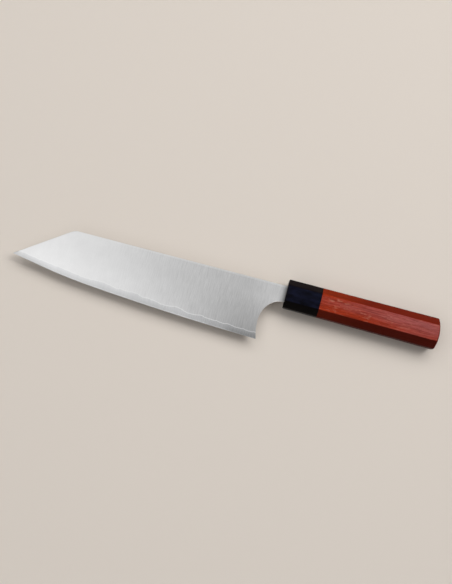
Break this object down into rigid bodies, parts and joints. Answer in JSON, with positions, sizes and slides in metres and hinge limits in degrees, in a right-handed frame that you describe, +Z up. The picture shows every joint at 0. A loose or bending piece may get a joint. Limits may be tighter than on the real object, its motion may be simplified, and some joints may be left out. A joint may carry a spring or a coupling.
{
  "type": "kiritsuke knife",
  "caption": "Kitchen knife with an angled kiritsuke tip, a laminated satin blade, a black ferrule and a reddish eight-sided wooden handle, lying on its side.",
  "frame": {"origin": "under the middle of the whole knife's box, on the surface that the knife lies on", "axes": "+X along the knife from the tip towards the butt of the handle, +Y from the cutting edge towards the spine, +Z up out of the blade's right side"},
  "size_m": [0.3528, 0.0538, 0.021],
  "materials": {
    "core_steel": "fine satin, slightly blue-grey, darker than the cladding",
    "cladding_steel": "satin, with fine scratches from spine to edge",
    "ferrule_horn": "polished near-black horn",
    "handle_wood": "reddish hardwood, fine lengthwise grain, oiled satin",
    "dowel_wood": "pale straight-grained wood, raw",
    "resin": "dark set resin"
  },
  "bodies": {
    "root": {"core_steel": "core_steel", "cladding_right": "cladding_steel", "cladding_left": "cladding_steel", "ferrule": "ferrule_horn", "mouth_seal": "resin", "dowel_right_half": "dowel_wood", "dowel_left_half": "dowel_wood", "tang_bedding": "resin", "handle_body": "handle_wood"}
  },
  "joints": []
}
